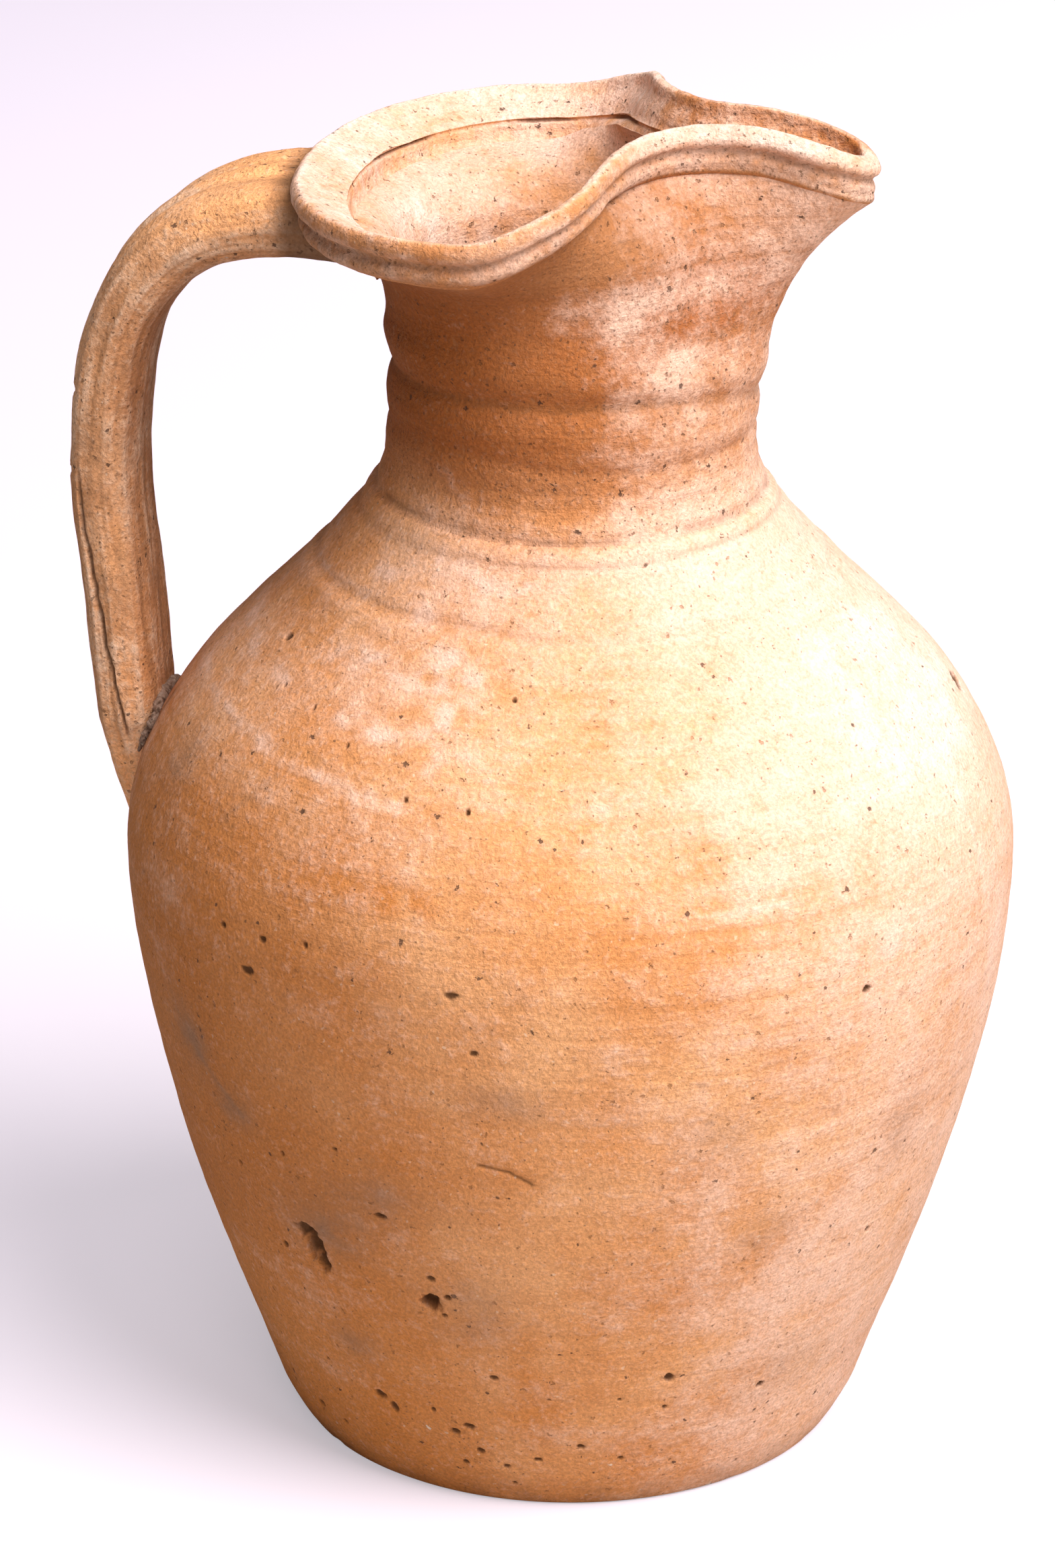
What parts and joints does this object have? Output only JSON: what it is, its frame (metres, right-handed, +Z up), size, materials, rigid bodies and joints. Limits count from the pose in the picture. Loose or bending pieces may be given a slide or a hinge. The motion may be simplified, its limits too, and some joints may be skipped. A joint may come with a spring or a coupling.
{
  "type": "trefoil-mouth jug",
  "caption": "Wheel-thrown terracotta pouring jug with an ovoid body, a flared neck pinched to a trefoil mouth and spout, and a strap handle behind it.",
  "frame": {"origin": "centre of the foot, on the ground", "axes": "+Z up along the jug's axis, +X towards the spout, -X towards the handle; the XZ plane is the plane of symmetry"},
  "size_m": [0.228, 0.215, 0.3296],
  "materials": {
    "terracotta": "matt fired clay, warm orange, with dark grit, pits and pale lime bloom",
    "pale_terracotta": "matt fired clay with a thin pale pinkish bloom",
    "handle_terracotta": "matt fired clay, brown-orange, streaked along the strap by the potter's fingers",
    "grey_luting_clay": "rough grey clay and soil in the crevice under the handle's foot"
  },
  "bodies": {
    "root": {"floor_disc": "terracotta", "lower_body": "terracotta", "shoulder": "terracotta", "neck": "pale_terracotta", "rim_collar": "pale_terracotta", "handle_strap": "handle_terracotta", "handle_seat_lute": "handle_terracotta", "handle_foot_lute": "grey_luting_clay"}
  },
  "joints": []
}
